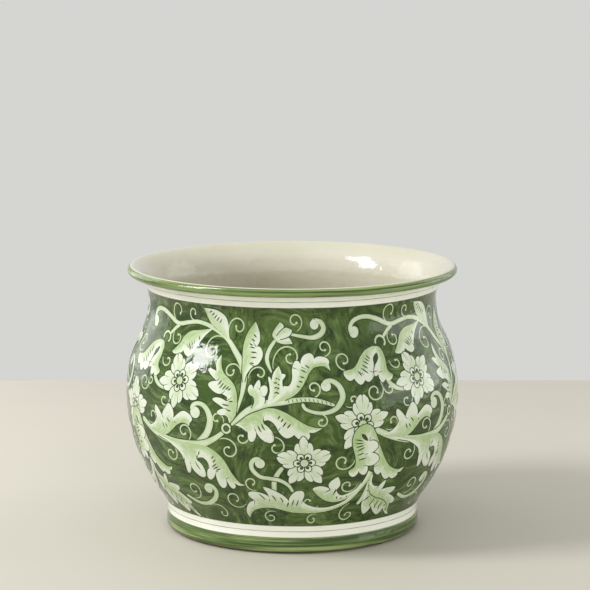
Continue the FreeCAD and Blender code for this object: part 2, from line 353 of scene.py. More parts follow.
def make_rubber(name, low, high):
    """Matt moulded rubber with a dusty bloom."""
    finish = Finish(name)
    bloom = finish.noise(180.0, 4.0)
    finish.set(Base_Color=finish.mix(finish.ramp(bloom, 0.35, 0.75), low, high),
               Roughness=finish.ramp(bloom, 0.2, 0.8, 0.55, 0.8),
               Normal=finish.bump(finish.noise(2400.0), 0.3, 0.0002))
    return finish.material


def make_stone():
    """The pale floor of the studio, faintly mottled."""
    finish = Finish("pale stone floor")
    finish.set(Base_Color=finish.mix(finish.noise(2.0, 4.0), STONE_DARK, STONE), Roughness=0.6)
    return finish.material


PAINTS = {
    "leaf": make_pale_paint("pale leaf paint", PALE_GREEN, 1.6, 1.5),
    "scroll": make_pale_paint("pale scroll paint", PALE_GREEN, 3.0, 0.5),
    "tendril": make_pale_paint("tendril paint", PALE_GREEN, 2.0, 0.4),
    "petal": make_pale_paint("white petal paint", PALE_WASH, 2.4, 1.2),
    "line": make_line_paint("dark outline paint", LINE_GREEN, GREEN_DEEP),
    "vein": make_line_paint("fine vein paint", GREEN_MID, GREEN_LIGHT),
}


def steps_of(line):
    """How long each step of a line is, from point to point."""
    return np.hypot(*np.diff(line, axis=0).T)


def length(line):
    """How long a line is."""
    return steps_of(line).sum()


def run_up(steps):
    """How far along a line each of its points lies, from the steps between them."""
    return np.concatenate([[0], np.cumsum(steps)])


def points_at(spots, along, line):
    """The points of a line at some distances, where its own points lie at the distances along."""
    return np.column_stack([np.interp(spots, along, line[:, axis]) for axis in (0, 1)])


def even(line, count):
    """A line again, as a number of evenly spaced points."""
    along = run_up(steps_of(line))
    return points_at(np.linspace(0, along[-1], count), along, line)


def even_steps(line, step):
    """A line again, evenly spaced at no more than a step."""
    return even(line, math.ceil(length(line) / step) + 1)


def left_of(line, closed=False):
    """The way to the left of a line, one long, at each of its points."""
    step = np.gradient(line, axis=0)
    if closed:
        step[0] = step[-1] = line[1] - line[-2]
    step /= np.maximum(np.hypot(*step.T), TINY)[:, None]
    return np.column_stack([-step[:, 1], step[:, 0]])


def towards(turn):
    """The way that an angle points, one long."""
    return np.stack([np.cos(turn), np.sin(turn)], axis=-1)


def round_run(centre, radius, start, end, count):
    """Part of a circle between two angles."""
    return np.array(centre) + radius * towards(np.linspace(start, end, count))


def upright_run(upright, other):
    """The arc that stands upright at one end, from that end to the other, as radii and heights."""
    across, up = np.array(other) - np.array(upright)
    bend = (across**2 + up**2) / (2 * across)
    turn = np.linspace(0, math.asin(up / bend), ARC_POINTS)
    return np.column_stack([upright[0] + bend * (1 - np.cos(turn)), upright[1] + bend * np.sin(turn)])


def wave(start, end, share):
    """Two arcs, one hollow and one full, that stand upright at both outer ends."""
    start, end = np.array(start), np.array(end)
    middle = start + (end - start) * share
    return np.vstack([upright_run(start, middle), upright_run(end, middle)[::-1][1:]])


waist = np.array([WAIST_RADIUS, WAIST_HEIGHT])
belly = np.array([BELLY_RADIUS, BELLY_HEIGHT])
neck = np.array([NECK_RADIUS, NECK_HEIGHT])
lip = np.array([LIP_CENTRE_RADIUS, LIP_CENTRE_HEIGHT])
crease = lip - LIP_ROLL * np.array([CREASE_SHARE, math.sqrt(1 - CREASE_SHARE**2)])
foot_high = np.array([FOOT_RADIUS, FOOT_SWELL_HEIGHT])

# The outside of the wall from the foot up to the crease under the lip, as fine points
WALL_RUN = np.vstack([wave(foot_high, waist, FOOT_SHARE), wave(waist, belly, COVE_SHARE)[1:],
                      wave(belly, neck, SHOULDER_SHARE)[1:], upright_run(neck, crease)[1:]])
WALL_RUN = even_steps(WALL_RUN, WALL_STEP / 8)
WALL_ALONG = run_up(steps_of(WALL_RUN))
WALL_SLOPE = np.gradient(WALL_RUN, WALL_ALONG, axis=0)
PANEL_START, PANEL_END = np.interp([PANEL_FOOT, PANEL_TOP], WALL_RUN[:, 1], WALL_ALONG)
PANEL = PANEL_END - PANEL_START
REPEAT_WIDTH = 2 * math.pi / REPEATS * BELLY_RADIUS / PANEL / HUNDREDTH


def sunk(run):
    """The outside wall sunk by the depth of the paint, all but at its foot and its crease."""
    up = np.clip((run[:, 1] - FOOT_BAND_TOP) / (PANEL_FOOT - FOOT_BAND_TOP), 0, 1)
    down = np.clip((LIP_BAND_FOOT - run[:, 1]) / (LIP_BAND_FOOT - PANEL_TOP), 0, 1)
    return run + left_of(run) * (PAINT_DEPTH * np.minimum(up, down))[:, None]


def section():
    """The whole turned section, as runs of radii and heights with their finish, closed on itself."""
    # The lip's roll, from the crease outside to the crest where the flare inside meets it
    inside = np.array([NECK_RADIUS - WALL, NECK_HEIGHT])
    reach = inside - lip
    flare = (reach @ reach - LIP_ROLL**2) / (-2 * (reach[0] + LIP_ROLL))
    flare_centre = inside + np.array([flare, 0])
    away = (lip - flare_centre) / np.hypot(*(lip - flare_centre))
    crest = lip + away * LIP_ROLL
    crease_turn = math.atan2(*(crease - lip)[::-1])
    crest_turn = math.atan2(away[1], away[0])
    roll = even_steps(round_run(lip, LIP_ROLL, crease_turn, crest_turn, ARC_POINTS), EDGE_STEP)
    green = len(roll) - 1 - CREAM_RINGS

    # The shoulder and the bowl inside, and the rounded corner where the bowl meets the floor
    shoulder = wave(inside, [BELLY_RADIUS - WALL, BELLY_HEIGHT], 1 - SHOULDER_SHARE)
    flank = waist + (belly - waist) * COVE_SHARE
    across, up = flank - belly
    bowl_centre = belly + np.array([(across**2 + up**2) / (2 * across), 0])
    inward = (bowl_centre - flank) / np.hypot(*(bowl_centre - flank))
    heel = flank + inward * WALL
    bowl_radius = np.hypot(*(heel - bowl_centre))
    corner = (heel[1] - FLOOR_HEIGHT) / (1 - inward[1])
    corner_centre = heel + inward * corner
    heel_turn = math.atan2(-inward[1], -inward[0])
    bowl = round_run(bowl_centre, bowl_radius, 0, heel_turn, BOWL_POINTS)
    rounded = round_run(corner_centre, corner, heel_turn, -math.pi / 2, BOWL_POINTS)

    # The foot ring and the drain hole
    land_outer = FOOT_RADIUS - FOOT_EDGE_ROUND
    land_inner = land_outer - FOOT_LAND
    foot_edge = round_run([land_outer, FOOT_EDGE_ROUND], FOOT_EDGE_ROUND, -math.pi / 2, 0, FOOT_EDGE_POINTS)
    drain_edge = DRAIN_RADIUS + DRAIN_BEVEL
    drain_top = [DRAIN_RADIUS, FLOOR_HEIGHT - DRAIN_BEVEL]
    return [
        (even_steps(foot_edge, EDGE_STEP), PAINTED),
        ([[FOOT_RADIUS, FOOT_EDGE_ROUND], foot_high], PAINTED),
        (sunk(even_steps(WALL_RUN, WALL_STEP)), PAINTED),
        (roll[:green + 1], PAINTED),
        (roll[green:], CREAMED),
        (even_steps(upright_run(inside, crest)[::-1], WALL_STEP), CREAMED),
        (even_steps(shoulder, WALL_STEP), CREAMED),
        (even_steps(bowl, WALL_STEP), CREAMED),
        (even_steps(rounded, WALL_STEP), CREAMED),
        ([[corner_centre[0], FLOOR_HEIGHT], [corner_centre[0] / 2, FLOOR_HEIGHT],
          [drain_edge, FLOOR_HEIGHT], drain_top], CREAMED),
        ([drain_top, [DRAIN_RADIUS, BASE_RECESS + DRAIN_BEVEL], [drain_edge, BASE_RECESS],
          [land_inner / 2, BASE_RECESS], [land_inner - FOOT_SLOPE, BASE_RECESS],
          [land_inner - FOOT_BEVEL / 2, FOOT_BEVEL], [land_inner + FOOT_BEVEL, 0], [land_outer, 0]], BARE),
    ]


def turned(radius, turn, height):
    """Points round the pot's axis, by their angle from the middle of the front."""
    return np.stack([radius * np.sin(turn), -radius * np.cos(turn), height], axis=-1)


def add_object(name, data):
    """Puts an object into the scene."""
    made = bpy.data.objects.new(name, data)
    bpy.context.collection.objects.link(made)
    return made


def make_pot(finishes):
    """The glazed pot, turned from its section and closed on itself."""
    runs = section()
    rings = np.vstack([run[:-1] for run, kind in runs])
    kinds = np.repeat([kind for run, kind in runs], [len(run) - 1 for run, kind in runs])
    turn = np.linspace(0, 2 * math.pi, SEGMENTS, endpoint=False)
    spots = turned(rings[:, :1], turn, (rings[:, 1:] + PAD_HEIGHT) * np.ones(SEGMENTS))
    row = np.arange(len(rings))[:, None]
    column = np.arange(SEGMENTS)
    next_row, next_column = (row + 1) % len(rings), (column + 1) % SEGMENTS
    faces = np.stack([row * SEGMENTS + column, row * SEGMENTS + next_column,
                      next_row * SEGMENTS + next_column, next_row * SEGMENTS + column], axis=-1)
    mesh = bpy.data.meshes.new("glazed_pot")
    mesh.from_pydata(spots.reshape(-1, 3).tolist(), [], faces.reshape(-1, 4).tolist())
    for finish in finishes:
        mesh.materials.append(finish)
    mesh.polygons.foreach_set("material_index", np.repeat(kinds, SEGMENTS))
    mesh.shade_smooth()
    mesh.set_sharp_from_angle(angle=SHARP)
    pot = add_object("glazed_pot", mesh)
    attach(pot, "planter")
    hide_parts("planter_body")


def on_wall(grid, lift):
    """Lays points of the unrolled panel, in hundredths of its height, on the wall, with the way out."""
    along = PANEL_START + grid[..., 1] * HUNDREDTH * PANEL
    radius, height = (np.interp(along, WALL_ALONG, WALL_RUN[:, axis]) for axis in (0, 1))
    widening, climb = (np.interp(along, WALL_ALONG, WALL_SLOPE[:, axis]) for axis in (0, 1))
    turn = grid[..., 0] * HUNDREDTH * PANEL / BELLY_RADIUS
    normal = turned(climb, turn, -widening)
    return turned(radius, turn, height + PAD_HEIGHT) + normal * lift, normal


# Widths and distances of the ornament
RIM = 0.4                       # half the width of the dark outline round each pale shape
TENDRIL = 0.32                  # half the width of a tendril
TENDRIL_BALL = 1.7 * TENDRIL    # the ball at its inner end
FLARE = 0.45                    # how fast the brush marks of a leaf leave its back edge
ROOT = 1.8                      # how much of a leaf's root has no outline
BITE = 1.0                      # how much deeper a notch goes than a lobe's foot
BITE_SHARE = 0.35               # the largest part of a leaf's depth that a notch may take
SEAM_SLANT = 1.6                # how far a seam runs aside on its way in from a notch
SEAM_FIT = 1.3                  # how many times a seam's length a leaf must be deep to have one
SEAM_STRETCH = (0.04, 0.96)     # the part of a leaf's length that may have seams
HATCH_SLANT = 3.0               # how far a hatch runs aside
TONE_START = 0.1                # where a leaf starts to turn pale, as a share of its depth
TONE_REACH = 0.75               # and the share of its depth that this takes

# Half the width of a leaf's dark marks, along each of them
SEAM_WIDTHS = (0.2, 0.17, 0.1, 0.02)
HATCH_WIDTHS = (0.1, 0.24, 0.1)
VEIN_WIDTHS = (0.1, 0.22, 0.2, 0.06)

# How finely the ornament is drawn: points of a line, longest steps, and rows or columns of a patch
SEAM_POINTS = 6
HATCH_POINTS = 4
VEIN_POINTS = 12
FINE_POINTS = 200
FLOW_STEPS = 24
RIM_STEP = 0.4
STROKE_STEP = 0.55
PLAIN_STEP = 0.5
LEAF_STEP = 0.42
LEAF_ROWS = 10
STROKE_COLUMNS = 5
ROUND_POINTS = 25
BLUNT_SHARE = 0.15
RING_SHARES = np.array([0.02, 0.5, 1.0])

# How many layers a mark, a vein or a scroll's ball lies over its shape, and an outline under it
MARK_OVER = 0.3
VEIN_OVER = 0.2
BALL_OVER = 0.02
RIM_UNDER = 0.31

# Paints whose shapes get an outline, and all the patches of paint in one repeat
OUTLINED = ("leaf", "scroll", "petal")
daubs = []


def flow(points, count):
    """A smooth line through some points, as a number of evenly spaced ones."""
    points = np.array(points, float)
    ends = np.vstack([2 * points[0] - points[1], points, 2 * points[-1] - points[-2]])
    share = np.linspace(0, 1, FLOW_STEPS, endpoint=False)[:, None]
    runs = []
    for a, b, c, d in zip(ends, ends[1:], ends[2:], ends[3:]):
        runs.append((2 * b + (c - a) * share + (2 * a - 5 * b + 4 * c - d) * share**2
                     + (3 * b - a - 3 * c + d) * share**3) / 2)
    return even(np.vstack(runs + [points[-1:]]), count)


def spread(values, count):
    """Values spread evenly along a line and eased between."""
    eased = flow(np.column_stack([np.linspace(0, 1, len(values)), values]), FINE_POINTS)
    return np.interp(np.linspace(0, 1, count), eased[:, 0], eased[:, 1])


def points_for(line, step, fewest=6):
    """How many points a line needs for steps of about this size."""
    return max(fewest, int(length(line) / step))


def daub(brush, level, grid, pale, along=0.0, across=0.0):
    """Keeps a patch of paint: its layer, its points, how pale it is and where it lies in its brush mark."""
    daubs.append(dict(brush=brush, level=level, grid=grid, marks=(pale, along, across)))


def rim(level, border, closed=True):
    """The dark outline: a band along a border."""
    if closed:
        border = np.vstack([border, border[:1]])
    border = even(border, points_for(border, RIM_STEP, 24))
    side = left_of(border, closed) * RIM
    daub("line", level - RIM_UNDER, np.stack([border + side, border - side], axis=1), 0.0)


def disc(centre, radius, level, brush="scroll", pale=0.5):
    """A round dot of paint."""
    ring = towards(np.linspace(0, 2 * math.pi, ROUND_POINTS))
    grid = np.array(centre) + radius * RING_SHARES[:, None, None] * ring
    daub(brush, level, grid, pale)
    if brush in OUTLINED:
        rim(level, grid[-1, :-1])


def stroke(points, widths, level, brush="scroll", pale=(0.25, 0.65), smooth=True):
    """A stroke of the brush along some points, with its half widths spread along it and round ends."""
    line = flow(points, FINE_POINTS) if smooth else np.array(points)
    total = length(line)
    count = points_for(line, STROKE_STEP)
    line = even(line, count)
    half = spread(widths, count)
    along = np.linspace(0, total, count)
    for gap in (along, total - along):
        short = np.clip(gap / np.maximum(half, TINY), 0, 1)
        half = half * np.sqrt(1 - (1 - short)**2).clip(BLUNT_SHARE, 1)
    across = np.linspace(-1, 1, STROKE_COLUMNS)
    grid = line[:, None] + left_of(line)[:, None] * (half[:, None] * across)[:, :, None]
    tone = pale[0] + (pale[1] - pale[0]) * (1 - across**2)
    daub(brush, level, grid, tone, along[:, None], half[:, None] * across)
    if brush in OUTLINED:
        rim(level, np.vstack([grid[:, 0], grid[::-1, -1]]))


def scroll(points, widths, level, ball, radius):
    """A stroke that rolls up round a pale ball."""
    stroke(points, widths, level)
    disc(ball, radius, level + BALL_OVER, pale=0.7)


# A tendril: its width from its free end to its ball, how far out it starts, how much of that it winds in
TENDRIL_SHARES = (0.4, 0.8, 1.0, 1.0, 0.9)
CURL_REACH = 1.1
CURL_SHARE = 0.64


def curl(centre, size, start, sweep, tail):
    """A tendril: a spiral that winds in to a small ball, its free end tail times as far out."""
    turn = np.linspace(0, 1, ARC_POINTS)
    angle = np.radians(start + sweep * turn)
    radius = size * CURL_REACH * (1 - CURL_SHARE * turn**1.2) * (1 + (tail - 1) * (1 - turn)**5)
    line = np.array(centre) + radius[:, None] * towards(angle)
    stroke(line, [TENDRIL * share for share in TENDRIL_SHARES], 1, "tendril", (0.3, 0.45), smooth=False)
    disc(line[-1], TENDRIL_BALL, 1, "tendril", 0.45)


# A petal: how pale it is from its base to its edge, how its edge falls off to the sides, dips between
# lobes and rises in the middle, and how narrow it starts
PETAL_PALE = (0.3, 1.0)
PETAL_DROOP = 0.4
PETAL_NOTCH = 0.15
PETAL_POINT = 0.08
PETAL_NARROW = 0.62

# Its patch: rows, where the first one lies, the row where its veins start, and columns in each lobe
PETAL_ROWS = 10
PETAL_BASE = 0.14
VEIN_ROW = 6
LOBE_COLUMNS = 12


def petal(base, angle, reach, half, level, lobes):
    """A petal that opens like a fan from its base to a lobed edge, its middle lobe the longest."""
    across = np.linspace(-1, 1, LOBE_COLUMNS * lobes + 1)
    notch = np.abs(2 * ((across + 1) / 2 * lobes % 1) - 1)
    far = 1 - PETAL_NOTCH * (1 - np.sqrt(1 - np.minimum(notch, 1)**2))
    far = (1 - PETAL_DROOP * np.abs(across)**1.4) * far
    far += PETAL_POINT * (1 - np.minimum(np.abs(across) * 4, 1))
    steps = np.linspace(PETAL_BASE, 1, PETAL_ROWS)[:, None]
    opened = PETAL_NARROW + (1 - PETAL_NARROW) * np.sin(steps * math.pi / 2)
    out = reach * far * steps
    grid = base + out[:, :, None] * towards(angle + across * math.radians(half) * opened)
    tone = steps**1.1 * (1 - 0.3 * notch**4 * steps**3)
    tone = PETAL_PALE[0] + (PETAL_PALE[1] - PETAL_PALE[0]) * tone
    daub("petal", level, grid, tone, out, across * half / 60 * out)
    rim(level, np.vstack([grid[:, 0], grid[-1], grid[::-1, -1]]))
    for number in range(1, lobes):
        vein = grid[VEIN_ROW:, LOBE_COLUMNS * number]
        stroke(vein, (0.03, 0.1, 0.17), level + VEIN_OVER, "vein", smooth=False)


def lobe(start, tip, end, fullness=0.1, lean=0.0, blunt=1.85):
    """One lobe of a leaf's edge: a swelling from one notch to the next, and the chord under it."""
    start, tip, end = (np.array(spot, float) for spot in (start, tip, end))
    middle = (start + end) / 2
    half = (end - start) / 2
    turn = np.linspace(-math.pi / 2, math.pi / 2, ROUND_POINTS)
    side = np.sign(np.sin(turn)) * np.abs(np.sin(turn))**(2 / blunt)
    height = np.cos(turn).clip(0, 1)**(2 / blunt)
    swell = 4 * height * (1 - height)
    edge = middle + (side * (1 + fullness * swell) + lean * swell)[:, None] * half
    edge = edge + height[:, None] * (tip - middle)
    return edge, middle + side[:, None] * half


def bitten(front, spine):
    """The front edge with each notch between two lobes pushed in toward the back edge."""
    front = [list(item) if isinstance(item[0], tuple) else item for item in front]
    for before, after in zip(front, front[1:]):
        if isinstance(before, list) and isinstance(after, list):
            notch = np.array(before[2])
            away = spine[np.hypot(*(spine - notch).T).argmin()] - notch
            depth = np.hypot(*away)
            before[2] = after[0] = tuple(notch + away / max(depth, TINY) * min(BITE, BITE_SHARE * depth))
    return front


def front_edge(front, tip):
    """A leaf's front edge, the same with each lobe cut off at its chord, and the lobes' ends."""
    edges, chords, notches = [], [], []

    def add_plain(run):
        if len(run) > 1:
            plain = flow(run, points_for(run, PLAIN_STEP))
            edges.append(plain)
            chords.append(plain)

    run = [front[0]]
    for item in front[1:] + [tip]:
        is_lobe = isinstance(item[0], tuple)
        spot = item[0] if is_lobe else item
        if run[-1] != spot:
            run.append(spot)
        if is_lobe:
            add_plain(run)
            edge, chord = lobe(*item)
            edges.append(edge)
            chords.append(chord)
            notches += [item[0], item[2]]
            run = [item[2]]
    add_plain(run)
    return np.vstack(edges), np.vstack(chords), notches


def spine_shares(chord, spine):
    """How far up the spine each point of a leaf's front edge has its root, smoothed over its neighbours."""
    gaps = np.hypot(chord[:, None, 0] - spine[None, :, 0], chord[:, None, 1] - spine[None, :, 1])
    share = np.maximum.accumulate(gaps.argmin(axis=1) / (FINE_POINTS - 1))
    share[0] = 0
    share[-1] = 1
    reach = 4
    window = 2 * reach + 1
    return np.convolve(np.pad(share, reach, "edge"), np.ones(window) / window, "valid")


def point_in(grid, row, column):
    """A spot of a grid at a share of its rows and at a column that may lie between two."""
    rows, columns = grid.shape[:2]
    row = min(max(row, 0), 1) * (rows - 1)
    column = min(max(column, 0), columns - 1)
    above, left = min(int(row), rows - 2), min(int(column), columns - 2)
    down, right = row - above, column - left
    top = grid[above, left] * (1 - right) + grid[above, left + 1] * right
    bottom = grid[above + 1, left] * (1 - right) + grid[above + 1, left + 1] * right
    return top * (1 - down) + bottom * down


def leaf(back, front, level, hatches=(), pale=(0.15, 1.0), seam=3.2, veins=(), merge=ROOT, mark=1.3):
    """An acanthus leaf between a smooth back edge and a front edge of plain stretches and lobes."""
    spine = flow(back, FINE_POINTS)
    edge, chord, notches = front_edge(bitten(front, spine), back[-1])
    share = spine_shares(chord, spine)
    total = length(spine)
    ran = run_up(np.maximum(steps_of(edge), np.abs(np.diff(share)) * total))
    spots = np.linspace(0, ran[-1], int(ran[-1] / LEAF_STEP))
    edge, chord = points_at(spots, ran, edge), points_at(spots, ran, chord)
    share = np.interp(spots, ran, share)
    root = points_at(share * (FINE_POINTS - 1), np.arange(FINE_POINTS), spine)

    # Each column goes from the spine to the chord and on to the edge
    inner = np.hypot(*(chord - root).T)
    outer = np.hypot(*(edge - chord).T)
    depth = inner + outer
    rows = np.linspace(0, 1, LEAF_ROWS)[:, None]
    went = rows * depth
    first = np.minimum(went / np.maximum(inner, TINY), 1)[:, :, None]
    last = np.clip((went - inner) / np.maximum(outer, TINY), 0, 1)[:, :, None]
    grid = root + (chord - root) * first + (edge - chord) * last
    blend = np.clip((rows - TONE_START) / TONE_REACH, 0, 1)
    tone = pale[0] + (pale[1] - pale[0]) * blend * blend * (3 - 2 * blend)
    along = share * total
    daub("leaf", level, grid, tone, along, went - FLARE * along)
    border = np.vstack([edge, spine[::-1]])
    ran = run_up(steps_of(border))
    rim(level, border[(ran > ROOT) & (ran < ran[-1] - merge)], closed=False)

    def draw(heights, columns, widths):
        path = [point_in(grid, height, column) for height, column in zip(heights, columns)]
        stroke(path, widths, level + MARK_OVER, "line")

    # Seams that run in from the notches, then rows of hatching, then veins
    for notch in notches:
        column = np.hypot(*(edge - np.array(notch)).T).argmin()
        if depth[column] > seam * SEAM_FIT and SEAM_STRETCH[0] < share[column] < SEAM_STRETCH[1]:
            heights = np.linspace(1, 1 - seam / depth[column], SEAM_POINTS)
            draw(heights, column + SEAM_SLANT * (1 - heights) * depth[column], SEAM_WIDTHS)
    for begin, finish, number, near, far in hatches:
        heights = np.linspace(near, far, HATCH_POINTS)
        for spot in np.linspace(begin, finish, number):
            columns = np.searchsorted(share, spot) - HATCH_SLANT * (heights - near)
            draw(heights, columns, [width * mark for width in HATCH_WIDTHS])
    for begin, finish, height in veins:
        columns = np.linspace(*np.searchsorted(share, (begin, finish)), VEIN_POINTS)
        draw([height] * VEIN_POINTS, columns, VEIN_WIDTHS)


# A daisy's petals, each with its lobes: how much wider than its fifth of the circle one opens, and how
# many layers each second one lies higher
PETAL_LOBES = (3, 4, 3, 3, 4)
PETAL_OVERLAP = 1.03
PETAL_OVER = 0.62

# Its middle: sizes and places as shares of its radius, and the layers of each part over the petals
SEEDS = 6
HEART_SHARE, HEART_OVER = 0.345, 1.5
SEED_SHARE, SEED_PLACE_SHARE, SEED_OVER = 0.12, 0.285, 1.9
HOLLOW_SHARE, HOLLOW_PLACE_SHARE, HOLLOW_OVER = 0.066, 0.235, 2.1
BUTTON_SHARE, BUTTON_OVER = 0.145, 2.5


def daisy(centre, radius, heading, level=3.0, skipped=()):
    """A daisy of broad lobed petals round a ring of seeds."""
    centre = np.array(centre, float)
    spacing = 360 / len(PETAL_LOBES)
    for number, lobes in enumerate(PETAL_LOBES):
        if number not in skipped:
            reach = radius * (1.02 + 0.05 * math.sin(number * 2.3 + heading))
            petal(centre, math.radians(heading + number * spacing), reach, spacing / 2 * PETAL_OVERLAP,
                  level + number % 2 * PETAL_OVER, lobes)
    disc(centre, radius * HEART_SHARE, level + HEART_OVER, "line", 0.0)
    for number in range(SEEDS):
        outward = radius * towards(math.radians(heading + 360 / SEEDS * (number + 0.5)))
        disc(centre + SEED_PLACE_SHARE * outward, radius * SEED_SHARE, level + SEED_OVER, "petal", 0.85)
        disc(centre + HOLLOW_PLACE_SHARE * outward, radius * HOLLOW_SHARE, level + HOLLOW_OVER, "line", 0.0)
    disc(centre, radius * BUTTON_SHARE, level + BUTTON_OVER, "scroll", 0.45)


def paint_stems():
    """Stems, scrolls that end in a ball, small bars across a stem, and the ring where the stems meet."""
    scroll([(-84.5, 88.2), (-86.2, 90.6), (-84.8, 93.6), (-80.6, 95.2), (-75.4, 94.9), (-69.7, 93),
            (-65.3, 91.2), (-61.5, 90.6), (-55.8, 91.5), (-49.4, 92.2), (-43.1, 91.3), (-36.8, 89),
            (-31, 85.7), (-26.6, 81), (-22.8, 76), (-21, 71), (-21.3, 64), (-23.2, 57), (-25.6, 50.8)],
           (1.0, 1.0, 1.0, 0.9, 0.85, 0.9, 1.0, 1.3, 1.3, 0.7, 0.4), 1, (-84.2, 89.2), 2.4)
    stroke([(-61.5, 90.4), (-65.3, 88), (-68, 85.8)], (1.0, 0.8, 0.7), 1)
    stroke([(-73.2, 83.2), (-72.6, 85.4), (-70.4, 86.4), (-68, 85.4), (-67.5, 83.2), (-68.6, 82)],
           (0.45, 0.5, 0.5, 0.5), 1)
    stroke([(-71.8, 69.6), (-70, 66), (-66.5, 63.4), (-59.5, 61.9)], (0.9, 1.0, 0.9, 0.8), 1)
    stroke([(-26, 49.6), (-19.6, 55.6), (-14.5, 58.2), (-10.1, 59.7), (-3.8, 60.5), (1.3, 61.4),
            (6.4, 61.8), (11.4, 61.2), (17.8, 59.3)], (0.6, 1.2, 1.5, 1.3, 1.0, 0.9, 0.6), 4.2)
    scroll([(4.2, 60.2), (5.4, 57.9), (8.9, 56.5), (13.3, 56.1), (17.8, 57.6), (20.6, 60.9), (21.3, 64),
            (19.9, 67.6), (17, 69.6), (14.3, 69.2), (13.4, 67.4)],
           (0.7, 0.7, 0.8, 1.0, 1.2, 1.2, 1.0, 0.9), 1, (14.4, 67.4), 2.15)
    stroke([(-8.8, 72.6), (-11.1, 78), (-10.3, 82.4), (-7.4, 86.6)], (0.3, 0.9, 0.9, 0.7), 1)
    scroll([(-0.5, 89.2), (5.1, 88.4), (10.2, 88), (14, 89.4), (15.6, 91.9), (14.3, 94.4), (11.6, 95.2),
            (10, 93.9)], (0.5, 0.7, 0.8, 1.1, 1.2, 1.0, 0.9), 1, (11.2, 93.4), 2.1)
    stroke([(-29.5, 46.4), (-34.2, 43), (-39.3, 40.6), (-45.6, 39.5), (-53.9, 39.3), (-60.8, 40.2),
            (-66.5, 41.6), (-72, 43.6), (-79, 47)], (0.9, 1.2, 1.5, 1.7, 1.7, 1.6, 1.5, 1.4, 1.2), 4.4)
    first_bar, bar_row, arch, half_bar = np.array([(-1.5, 60.9), (17.5, -0.9), (0, 1.1), (0.3, -0.8)])
    for share in np.linspace(0, 1, 11):
        bar = first_bar + share * bar_row + arch * math.sin(share * math.pi)
        stroke([bar - half_bar, bar, bar + half_bar], (0.1, 0.22, 0.1), 4.6, "vein")
    ring = np.array((-28.3, 48)) + towards(np.linspace(0, 2 * math.pi, 40)) * (1.8, 1.9)
    stroke(ring, (0.45, 0.45), 5.2, smooth=False)
    scroll([(-46, 39), (-40.6, 42.3), (-37.4, 45.7), (-35.9, 50.1), (-36.6, 53.9), (-38.8, 56.8),
            (-41.8, 57.8), (-44.6, 56.9), (-45.4, 54.6)],
           (0.5, 1.2, 1.5, 1.5, 1.2, 0.9, 1.0), 1, (-43.5, 53.8), 2.5)
    stroke([(-3.8, 31.8), (-6.3, 28), (-7.6, 24.2), (-7.6, 19.5)], (0.9, 1.1, 1.1), 0.8)
    scroll([(1, 19.5), (-1.2, 22.9), (-5, 25.3), (-9.5, 26.1), (-13.9, 26.8), (-17.1, 29.9), (-17.5, 33),
            (-15.6, 35.1), (-13.2, 35)], (0.6, 0.8, 0.9, 0.9, 1.0, 1.0, 0.9), 1.6, (-13.7, 33.1), 2.2)
    scroll([(-58, 12.5), (-50.7, 9.3), (-44.4, 9.6), (-39.3, 12.6), (-37.1, 16.4), (-38, 19.2),
            (-40.6, 20.2), (-42.6, 19)], (0.7, 0.9, 1.0, 1.2, 1.1, 0.9), 1, (-41.2, 18.2), 2.3)


def paint_plain_leaves():
    """Plain leaves of the upper stem."""
    leaf([(-31.8, 86.2), (-34.8, 88.5), (-39.9, 91.1), (-42.4, 93.7), (-44.1, 96.2), (-45.4, 98.6)],
         [(-30.8, 86.2), (-31, 89.5), (-31.4, 92.6), (-33.2, 95.7), (-37.3, 97.9), (-41.6, 98.5)],
         1.2, [(0.34, 0.8, 5, 0.36, 0.7)], (0.3, 0.95))
    leaf([(-39.6, 90.2), (-43.4, 89.4), (-48.5, 88.7), (-53.4, 88), (-57.2, 85.6), (-59.4, 82.3),
          (-62.8, 78.7)],
         [(-39.8, 89.8), (-43, 87.6), (-45.5, 85.2), (-47.8, 82),
          ((-49.2, 79.9), (-52.6, 77.3), (-55, 80.7)), ((-55, 80.7), (-57.8, 77.9), (-62.8, 78.7), 0.1)],
         1.5, [(0.3, 0.7, 5, 0.4, 0.75)], (0.2, 0.9))
    leaf([(-21.2, 66), (-22, 71.5), (-22.4, 76), (-22.9, 81.4), (-22.4, 85.8), (-20.4, 90), (-17, 93.8)],
         [(-21, 66), (-20.2, 70.8), (-18.6, 73.6), ((-16.8, 75.4), (-13.2, 80), (-16.3, 83.3)),
          (-14.9, 85.8), (-15, 89), (-16, 91.7)],
         1.5, [(0.34, 0.82, 7, 0.4, 0.72)], (0.15, 0.9))


